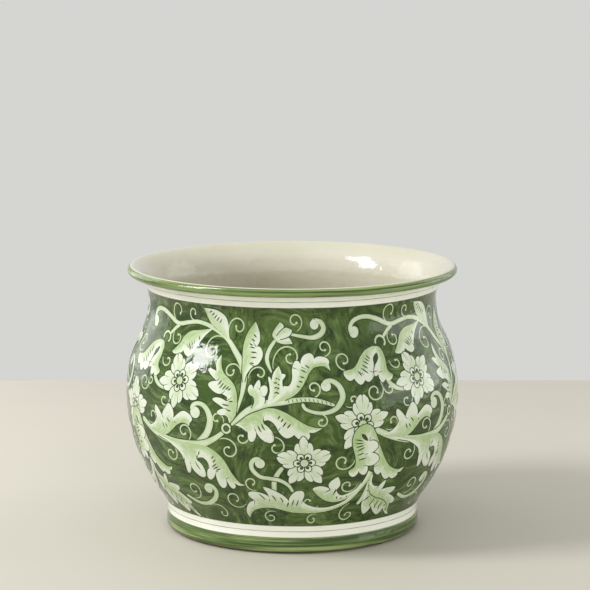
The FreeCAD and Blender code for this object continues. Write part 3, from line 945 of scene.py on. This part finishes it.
def paint_acanthus():
    """Acanthus leaves round the ring."""
    leaf([(-26.2, 50.6), (-24.1, 54), (-23.5, 58.7), (-23.8, 62.9), (-25.3, 66.7), (-28.1, 69.4),
          (-30.8, 71.6), (-32.4, 74.6), (-33.3, 79.3)],
         [(-26.8, 50.6), (-27.6, 53), ((-28.8, 53.8), (-32.6, 54.6), (-30.2, 56.6)),
          ((-30.2, 56.6), (-35, 60.2), (-28.6, 59.7), 0, 0.25), (-28, 60.6), (-28.4, 61.6), (-30.4, 62.6),
          ((-30.8, 62.8), (-37.6, 65.8), (-34.2, 67.2), 0.1, -0.15),
          ((-34.2, 67.2), (-38.8, 72.4), (-34.4, 72), 0, 0, 1.7), (-35.2, 74.8), (-34.8, 77)],
         1.4, [(0.16, 0.3, 3, 0.3, 0.6), (0.5, 0.7, 5, 0.26, 0.56)])
    leaf([(-22.2, 54.2), (-19.6, 55.5), (-17.5, 57), (-16.2, 59.1), (-16, 61), (-16.7, 62.3), (-17.9, 62.9),
          (-18.8, 64.2)],
         [(-12.6, 58), (-11.4, 60.4), (-11.6, 62.4),
          ((-11.6, 62.6), (-10.6, 66.6), (-12.9, 66.6), 0.1, 0, 2),
          ((-12.9, 66.6), (-14.3, 69.4), (-15.8, 65.8), 0, 0, 1.6),
          ((-15.8, 65.8), (-18, 67.2), (-18.8, 64.2), 0.1, 0, 2)],
         5.1, (), (0.35, 1.0), 1.6, merge=6)
    leaf([(-6.4, 59.4), (-6.2, 64), (-6.2, 69), (-5.7, 75.6)],
         [(-10.4, 59.2), (-10, 62), (-9.4, 64.6), (-9.6, 67.4),
          ((-9.8, 68.4), (-10.1, 71), (-8.7, 69.4), 0, 0, 1.6), (-8.2, 72), (-7, 74.2)],
         5.2, [(0.3, 0.68, 4, 0.0, 0.4)], (0.35, 0.95))
    leaf([(-8.4, 59.4), (-7, 64), (-6.3, 69), (-5.7, 75.6)],
         [(-3.6, 60), (-3.8, 66), (-4.1, 68.8), ((-3.9, 70), (-2.7, 71.9), (-4.4, 72.2), 0, 0, 1.6),
          (-4.8, 73.6)],
         5.25, [(0.32, 0.66, 4, 0.1, 0.5)], (0.35, 0.95))
    leaf([(-4.8, 60.6), (-0.6, 62.5), (2.3, 64.6), (4.4, 67.1), (6.1, 70.1), (7.4, 72.6), (9.1, 74.7),
          (10.8, 75.6), (14.2, 75.8), (17, 73.9)],
         [(-9.6, 59.8), (-6.6, 62.6), (-4.4, 65.6), (-3.4, 67.2), (-1.6, 67.2), (-0.4, 68.6), (0.2, 71),
          (0.1, 73.8), ((0.4, 75.2), (2.2, 78.2), (3.4, 76.2), 0, 0, 1.7),
          ((3.4, 76.2), (7, 81.2), (9.8, 78.6), 0.1, 0, 2.6),
          ((9.8, 78.6), (14, 80), (16.4, 76.6), 0.1, 0, 2.6)],
         5.3, [(0.36, 0.68, 5, 0.12, 0.46)])
    leaf([(-26, 50.2), (-23, 52.5), (-18.8, 55.3), (-14.6, 57), (-10.3, 57.7), (-7, 57.6), (-4, 56.6),
          (-0.6, 54.9), (2.8, 52.8), (5.7, 51.1), (8.7, 50.1), (12.4, 49.6)],
         [(-25.8, 49.6), (-23.4, 49.6), (-20.9, 48.5), (-19.2, 47.2),
          ((-18.6, 46.4), (-16.8, 42.9), (-14.6, 46.8), 0.1, 0, 2.2),
          ((-14.6, 46.8), (-8.2, 43.2), (-11.4, 50.8), 0.25, 0, 2.6), (-12, 51.8), (-10.4, 52.7),
          (-8.4, 52), (-6.6, 50), ((-5.8, 48.2), (-1.6, 45.2), (-0.2, 48.6), 0.1, 0.2, 2),
          ((-0.2, 48.6), (4.2, 44.4), (7, 47.8), 0.1, 0, 2.4), (9.2, 47.8)],
         1.4, [(0.26, 0.36, 3, 0.4, 0.64), (0.56, 0.7, 4, 0.3, 0.58)], (0.1, 1.0))


def paint_lower_branch():
    """Leaves of the lower branch."""
    leaf([(-69, 43), (-64.6, 41.8), (-60, 40.8), (-53, 40.2), (-46.7, 39.9), (-39.9, 39.6), (-36.1, 38.4),
          (-32.7, 36.2), (-29.8, 33), (-27.7, 28.8), (-25.6, 25.4), (-23.4, 22.9), (-21, 22)],
         [(-69, 41.6), (-64.6, 40.4), (-60, 39), (-56, 36.8), (-53, 34.4),
          ((-51.6, 31), (-50.6, 25.4), (-48.4, 28.6), 0, 0.2, 1.9),
          ((-48.4, 28.6), (-41.4, 24.4), (-44, 32.4), 0.25, 0, 2.6), (-43.2, 33.5), (-40.8, 33.8),
          (-38.8, 32.4), (-38.1, 30.2), ((-38.8, 28.6), (-38.9, 23.4), (-36, 27), 0.1, 0, 2.2),
          ((-36, 27), (-33.2, 19.8), (-31.2, 23.8), 0.1, 0.1, 2.1),
          ((-31.2, 23.8), (-27.8, 19.8), (-26.4, 22.8), 0, 0.2, 2), (-24, 21.5)],
         5.2, [(0.42, 0.48, 3, 0.5, 0.8), (0.64, 0.78, 5, 0.3, 0.56)], (0.15, 1.0), merge=38)
    leaf([(-74.6, 43.8), (-71, 42.8), (-68, 42.3), (-63.6, 41.7), (-59.8, 42.7), (-56.4, 45.2),
          (-53.8, 47.3), (-50.9, 48.6), (-48.4, 48.4), (-46.8, 47.4)],
         [(-74.6, 44.8), (-72.4, 44.8), (-69.6, 46), (-67.6, 47.8),
          ((-67, 50), (-67.6, 54.4), (-63.8, 51.2), 0.05, -0.1, 1.75),
          ((-63.8, 51.2), (-58.6, 56.2), (-56.4, 50.8), 0, 0.1, 1.7),
          ((-56.4, 50.8), (-49.2, 53.8), (-46.4, 49), 0.05, 0.2, 1.8)],
         5.2, [(0.46, 0.74, 4, 0.24, 0.48)], (0.2, 1.0), merge=16)
    leaf([(37.4, 28.5), (35.6, 24), (33.1, 19.9), (30, 15.2), (26.4, 11.9), (20, 8.9), (12, 7.5),
          (3.6, 7.5), (-0.7, 8.1), (-4.9, 9.4), (-9.1, 10.2), (-13.3, 10), (-16.7, 9), (-19.7, 6.8),
          (-21.8, 3.2)],
         [(34.8, 29), (33.8, 25.6), (31.4, 20.4), (28, 16), (24.2, 12.9), (19, 11), (14.4, 10.7),
          (10.4, 11.5), (7.2, 13), ((5.4, 15), (3.6, 20.2), (-0.7, 14.9), 0.1, 0, 2.6),
          ((-0.7, 14.9), (-12, 21.6), (-10, 16.4), 0, -0.35, 2),
          ((-11, 16), (-18.6, 18.8), (-17.5, 14.1), 0.2, -0.1, 2.3), (-20.2, 12.6), (-22.2, 9.4),
          (-22.8, 6.2)],
         1.5, [(0.62, 0.76, 5, 0.3, 0.62), (0.82, 0.84, 1, 0.4, 0.9)], (0.25, 1.0))
    leaf([(32.5, 21.8), (30.4, 17.8), (26.8, 15.3), (23.4, 14), (20, 13.8), (16.2, 14.9), (13.3, 17),
          (11.2, 19.1), (10, 20.6)],
         [(32.4, 23.4), (30.4, 20.4), (27.2, 18.3), (23.9, 17.3), (21.8, 18.6),
          ((20.8, 20.6), (20.6, 27), (18.2, 20.8), 1.3, 0.3, 2), (17.9, 20.6),
          ((17.4, 20.6), (13.2, 22.6), (10, 20.6))],
         1.3, [(0.3, 0.6, 4, 0.3, 0.66)], (0.25, 1.0))


def paint_fan_leaf():
    """The fan leaf at the bottom, on both sides of its rib."""
    rib = [(36.4, 27), (36, 23), (37.6, 18.4), (39.8, 15.3), (43.6, 13.4), (47.4, 11.9), (50.6, 9.9),
           (54, 6.6), (57.8, 2.4)]
    stroke([(36, 24), (35.7, 18.5), (34.9, 14.2), (33.4, 11.2)], (0.5, 0.7, 1.0, 0.9), 1.2)
    leaf(rib,
         [(36.1, 27), (36, 20.5), (35.9, 16), ((35.9, 13), (39.6, 4.6), (41.7, 9.2), 0.1, 0, 1.7),
          ((41.7, 9.2), (49, 2.6), (49.9, 6.8), 0.1, 0, 1.7),
          ((49.9, 6.8), (56, 1.8), (57.8, 2.4), 0.1, 0, 1.8)],
         1.3, [(0.24, 0.88, 7, 0.04, 0.66)], (0.25, 0.9), 5.5, mark=1.6)
    leaf(rib,
         [(37.4, 27), (37.7, 23.3), (39.2, 21.1), (41.6, 20.2),
          ((42.6, 20.4), (45.6, 22.8), (44.9, 18.7), 0, 0, 1.5),
          ((44.9, 18.7), (53, 18), (50.4, 15.5), 0.1, 0, 1.6),
          ((50.4, 15.5), (57, 10.2), (54.4, 8.6), 0.1, 0, 1.6), (55.6, 5.6)],
         1.34, (), (0.2, 0.85), 3.0, veins=[(0.12, 0.96, 0.03)])


def paint_bell():
    """The bell flower, of two drooping leaves."""
    leaf([(-74.4, 82.4), (-71.7, 81.8), (-70.2, 79.7), (-69.8, 76.4), (-70.1, 73), (-69.6, 70.9),
          (-67.6, 69.3)],
         [(-75.6, 82.4), (-75.4, 78), (-75.6, 75), (-76.8, 72.8),
          ((-77.6, 71.6), (-76.9, 69.6), (-75.8, 70.8), 0.1),
          ((-75.8, 70.8), (-74, 66.6), (-72.5, 69), 0.2), ((-72.5, 69), (-70.4, 66.8), (-67.6, 69.3), 0.1)],
         1.3, (), (0.2, 0.95))
    leaf([(-74, 82.5), (-77, 82), (-80, 80.8), (-82.7, 78.5), (-84.8, 75.9), (-87.3, 73.9), (-91.6, 73.2)],
         [(-73.2, 80.6), (-74, 79.6), (-76.2, 77.4), (-76.6, 74.6),
          ((-77.8, 71.2), (-80.4, 67.6), (-81.8, 70), 0.2),
          ((-81.8, 70), (-84.6, 66.8), (-86.9, 70.4), 0.2),
          ((-86.9, 70.4), (-89.8, 69), (-91.6, 73.2), 0.2)],
         2.4, [(0.34, 0.74, 6, 0.24, 0.66)], (0.2, 0.95))
    stroke([(-73.6, 79.4), (-74.4, 77.6), (-75.4, 75.8), (-76.4, 74.2)],
           (0.5, 1.05, 0.8, 0.2), 6.0, "line")


def paint_daisies():
    """Three daisies, the last half hidden by the folded leaf."""
    daisy((-53.4, 66.5), 11.8, 42)
    daisy((5.4, 34), 11.2, 94)
    daisy((29.8, 50.7), 11.8, 18, 2.2, skipped=(4,))


def paint_folded_leaf():
    """The folded leaf over the half-hidden daisy."""
    leaf([(30.1, 50.2), (32.4, 50.3), (34.4, 49), (36.5, 45.2), (38.2, 41), (40.3, 36.8), (42.4, 33.4),
          (45.3, 30), (48.7, 28), (51.4, 27.4), (54.2, 28)],
         [(29.8, 48.6), (31, 46), (32.6, 43.4), (34.8, 41.8), (36, 39.6), (36.5, 36.6), (36.8, 33.4),
          ((37.2, 30.6), (39.6, 26.6), (40.4, 28.9), 0.15), ((40.4, 28.9), (44.2, 23.8), (45.8, 25.8), 0.2),
          ((45.8, 25.8), (48.6, 23.2), (51, 25.9), 0.25), (52.8, 26)],
         6.4, (), (0.1, 0.8))
    leaf([(33.4, 49.9), (31.6, 50.6), (29.2, 50), (26.9, 48.1), (25.6, 44.6), (25.9, 41), (27, 37.6),
          (27.8, 34.3), (27.5, 31.6), (25.2, 29.8)],
         [(33.7, 46.8), (33.2, 45.2), (33, 43.6), ((33.1, 43), (37.6, 40.6), (34, 37.8), 0.1, 0, 2),
          ((34, 37.8), (38.8, 34.4), (34.4, 31.6), 0.1, 0, 2.2),
          ((34.4, 31.6), (33, 27.4), (30.4, 29.8), 0.1, 0, 2),
          ((30.4, 29.8), (27.8, 26.8), (25.2, 29.8), 0.1, 0, 2)],
         8.0, [(0.4, 0.78, 6, 0.1, 0.46)], (0.1, 1.0), merge=0)
    stroke([(29.5, 46.6), (30.3, 45.6), (31.5, 44.2), (32.6, 43.2)],
           (0.3, 0.85, 0.7, 0.2), 9.0, "line")


def paint_bud():
    """The bud, of three small leaves."""
    leaf([(-7.8, 86.6), (-6, 85.5), (-3.4, 85), (0.6, 85.2)],
         [(-7.4, 87), (-4, 87.8), (-1.6, 88), (-0.2, 86.8)], 1.2, (), (0.4, 0.9))
    leaf([(-7.6, 86.6), (-8.9, 88.6), (-7.8, 90.9), (-5.2, 94)],
         [(-7.2, 86.8), (-5, 89.6), (-3.6, 91.4), (-3.6, 93)], 1.8, (), (0.4, 1.0))
    leaf([(-7.8, 86.8), (-5.6, 89.6), (-2.6, 91.8), (0.5, 91)],
         [(-7.4, 86.5), (-4, 87.2), (-1.2, 88.2), (0.2, 89.6)], 2.4, (), (0.4, 1.0))


def paint_tendrils():
    """Tendrils all over the ground, each by its centre, size, start, sweep and tail."""
    for tendril in (
            ((-63, 96), 4.2, -65, -340, 1.2), ((-52, 95.8), 2.6, -50, -330, 1.2),
            ((-25.7, 91.3), 3.4, 235, -420, 1.9), ((-61.8, 84.6), 3.2, 110, 350, 1.4),
            ((-38.4, 80.8), 3.8, 20, 440, 2.2), ((-27.3, 72.4), 2.9, -10, 390, 1.5),
            ((-64, 74.2), 2.4, 160, 300, 1.6), ((-78.4, 63.2), 3.6, 50, -430, 1.3),
            ((-61.8, 57.4), 2.5, 45, -340, 1.6), ((-70, 49.5), 2.7, 215, 350, 1.6),
            ((-49.7, 45), 3.3, -100, 400, 1.5), ((-59.4, 33.5), 3.3, 115, -450, 1.7),
            ((-32.7, 51.9), 2.4, -30, 320, 1.4), ((-21.3, 44.3), 2.7, 110, -400, 1.6),
            ((-27.6, 38.3), 3.6, 160, -440, 1.9), ((-50.4, 16.8), 3.5, 240, 420, 1.5),
            ((-27.8, 14), 4.0, -20, -390, 1.4), ((-37.1, 4.4), 2.6, 150, -360, 2.8),
            ((-18, 23.4), 2.8, -60, -350, 1.4), ((1.9, 94.7), 3.0, -80, 400, 1.3),
            ((15.2, 83.9), 2.9, 240, 410, 1.3), ((-0.5, 79.4), 3.5, 215, -480, 2.4),
            ((-13.9, 72), 2.5, 205, -350, 2.1), ((23.5, 78.3), 3.6, -30, -420, 1.4),
            ((9.1, 66.7), 2.7, 215, 420, 1.9), ((25.8, 61.4), 2.0, 215, 370, 2.0),
            ((43.4, 64.6), 2.0, 160, 290, 1.4), ((12.2, 52.3), 2.2, 120, -390, 1.6),
            ((-6.6, 40.8), 3.3, 115, -350, 1.4), ((21.8, 34.4), 3.3, 35, -420, 1.9),
            ((25.7, 22.4), 2.9, 5, -370, 1.6), ((8.4, 14.4), 2.2, -25, -300, 2.4),
            ((-10.2, 4.2), 3.0, 50, 410, 1.4), ((11.3, 3.2), 2.6, 60, 350, 1.4),
            ((29.8, 5.2), 2.9, 95, 440, 2.3)):
        curl(*tendril)


def paint_repeat():
    """One repeat of the ornament, in hundredths of the panel's height, from the middle of the front."""
    paint_stems()
    paint_plain_leaves()
    paint_acanthus()
    paint_lower_branch()
    paint_fan_leaf()
    paint_bell()
    paint_daisies()
    paint_folded_leaf()
    paint_bud()
    paint_tendrils()


# Small slips of a hand that repeats a pattern by eye, as slow waves
SLIP = 0.55
ACROSS_WAVES = (21, 27)
UPWARD_WAVES = (19, 31)

# Moves the hairs of the brush on from patch to patch
MARK_SHIFT = 3.1


def drift(grid, dice):
    """A patch with the slips of one repeat."""
    across, up = grid[..., 0], grid[..., 1]
    phases = [dice.uniform(0, 2 * math.pi) for _ in range(4)]
    slip = [np.sin(up / ACROSS_WAVES[0] + phases[0]) + np.sin(across / ACROSS_WAVES[1] + phases[1]),
            np.sin(across / UPWARD_WAVES[0] + phases[2]) + np.sin(up / UPWARD_WAVES[1] + phases[3])]
    return grid + np.stack(slip, axis=-1) * SLIP


def faces_out(rows, columns, spots, normals):
    """The faces of a grid of points, all turned to look out of the wall."""
    corner = np.arange(rows - 1)[:, None] * columns + np.arange(columns - 1)
    quads = np.stack([corner, corner + 1, corner + columns + 1, corner + columns], axis=-1).reshape(-1, 4)
    one, two, three, four = (spots[quads[:, number]] for number in range(4))
    facing = (np.cross(three - one, four - two) * normals[quads[:, 0]]).sum(axis=1)
    quads[facing < 0] = quads[facing < 0][:, ::-1]
    return quads


def lay_paint(repeat, brush):
    """One repeat's patches of one paint, laid on the wall as a single piece."""
    spots, normals, faces, marks = [], [], [], []
    first = 0
    for patch in daubs:
        if patch["brush"] != brush:
            continue
        rows, columns = patch["grid"].shape[:2]
        grid = drift(patch["grid"], random.Random(repeat)) + np.array([REPEAT_WIDTH * repeat, 0])
        spot, normal = on_wall(grid, FIRST_LAYER - PAINT_DEPTH + LAYER * patch["level"])
        spots.append(spot.reshape(-1, 3))
        normals.append(normal.reshape(-1, 3))
        faces.append(faces_out(rows, columns, spots[-1], normals[-1]) + first)
        mark = np.zeros((rows, columns, 4))
        for number, given in enumerate((*patch["marks"], patch["grid"][0, 0].sum() * MARK_SHIFT)):
            mark[..., number] = given
        marks.append(mark.reshape(-1, 4))
        first += rows * columns
    marks = np.vstack(marks)
    mesh = bpy.data.meshes.new("%s_%d" % (brush, repeat + 1))
    mesh.from_pydata(np.vstack(spots).tolist(), [], np.vstack(faces).tolist())
    mesh.attributes.new("pale", "FLOAT", "POINT").data.foreach_set("value", marks[:, 0].copy())
    mesh.attributes.new("run", "FLOAT_VECTOR", "POINT").data.foreach_set("vector", marks[:, 1:].ravel())
    mesh.materials.append(PAINTS[brush])
    mesh.shade_smooth()
    mesh.normals_split_custom_set_from_vertices(np.vstack(normals).tolist())
    paint = add_object("painted_%ss_%d" % (brush, repeat + 1), mesh)
    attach(paint, "planter")


def dress(node, finish):
    """Gives a node of the frame its finish."""
    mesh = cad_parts[node].data
    if not mesh.materials:
        mesh.materials.append(finish)
    for number in range(len(mesh.materials)):
        mesh.materials[number] = finish


make_pot([make_wall_glaze(), make_cream_glaze(), make_bare_clay()])
paint_repeat()
for repeat in range(REPEATS):
    for brush in PAINTS:
        lay_paint(repeat, brush)

dress("drain_plug", make_rubber("black plug rubber", shade(24, 24, 25), shade(58, 57, 56)))
pad_rubber = make_rubber("grey pad rubber", shade(70, 68, 65), shade(104, 101, 96))
for number in range(1, PADS + 1):
    dress("foot_pad_%d" % number, pad_rubber)

# The studio: its floor ends well behind the pot, and the grey of its air is the backdrop
STUDIO_SIDE = 2.3
STUDIO_FRONT = 3.0
STUDIO_BACK = 0.88
AIR_COLOUR = (0.99, 1.0, 0.965, 1)
AIR_STRENGTH = 0.67
LIGHT_AIM = (0, 0, 0.2)


def make_floor():
    """The flat floor of the studio."""
    mesh = bpy.data.meshes.new("floor")
    corners = [(-STUDIO_SIDE, -STUDIO_FRONT, 0), (STUDIO_SIDE, -STUDIO_FRONT, 0),
               (STUDIO_SIDE, STUDIO_BACK, 0), (-STUDIO_SIDE, STUDIO_BACK, 0)]
    mesh.from_pydata(corners, [], [range(len(corners))])
    mesh.materials.append(make_stone())
    add_object("floor", mesh)


def make_air():
    """The even grey all round."""
    world = bpy.data.worlds.new("studio air")
    world.use_nodes = True
    sockets = world.node_tree.nodes["Background"].inputs
    sockets["Color"].default_value = AIR_COLOUR
    sockets["Strength"].default_value = AIR_STRENGTH
    bpy.context.scene.world = world


def make_light(name, spot, size, power, mirrored=True):
    """A soft box of light that faces the pot; one that isn't mirrored leaves no patch in the gloss."""
    lamp = bpy.data.lights.new(name, "AREA")
    lamp.shape = "RECTANGLE"
    lamp.size, lamp.size_y = size
    lamp.energy = power
    light = add_object(name, lamp)
    light.location = spot
    light.visible_glossy = mirrored
    light.rotation_euler = (Vector(LIGHT_AIM) - Vector(spot)).to_track_quat("-Z", "Y").to_euler()


make_floor()
make_air()
make_light("window", (-2.5, -0.7, 2.2), (0.9, 1.88), 81)
make_light("left_rim", (-1.0, 0.75, 0.6), (0.8, 1.0), 3)
make_light("right_rim", (1.1, 0.6, 0.6), (0.8, 1.0), 2)
make_light("right_fill", (2.4, 0.0, 0.35), (2.6, 0.7), 8)
make_light("front_fill", (0.9, -3.3, 0.4), (2.4, 0.7), 34, False)

CAMERA_SPOT = (0.0032, -2.9, 0.7618)
CAMERA_DOWN = 9.37
CAMERA_FILM = 36
CAMERA_LENS = 147.3
lens = bpy.data.cameras.new("photo view")
lens.sensor_width = CAMERA_FILM
lens.lens = CAMERA_LENS
camera = add_object("photo_view", lens)
camera.location = CAMERA_SPOT
camera.rotation_euler = (math.radians(90 - CAMERA_DOWN), 0, 0)
bpy.context.scene.camera = camera
bpy.context.scene.view_settings.view_transform = "Standard"
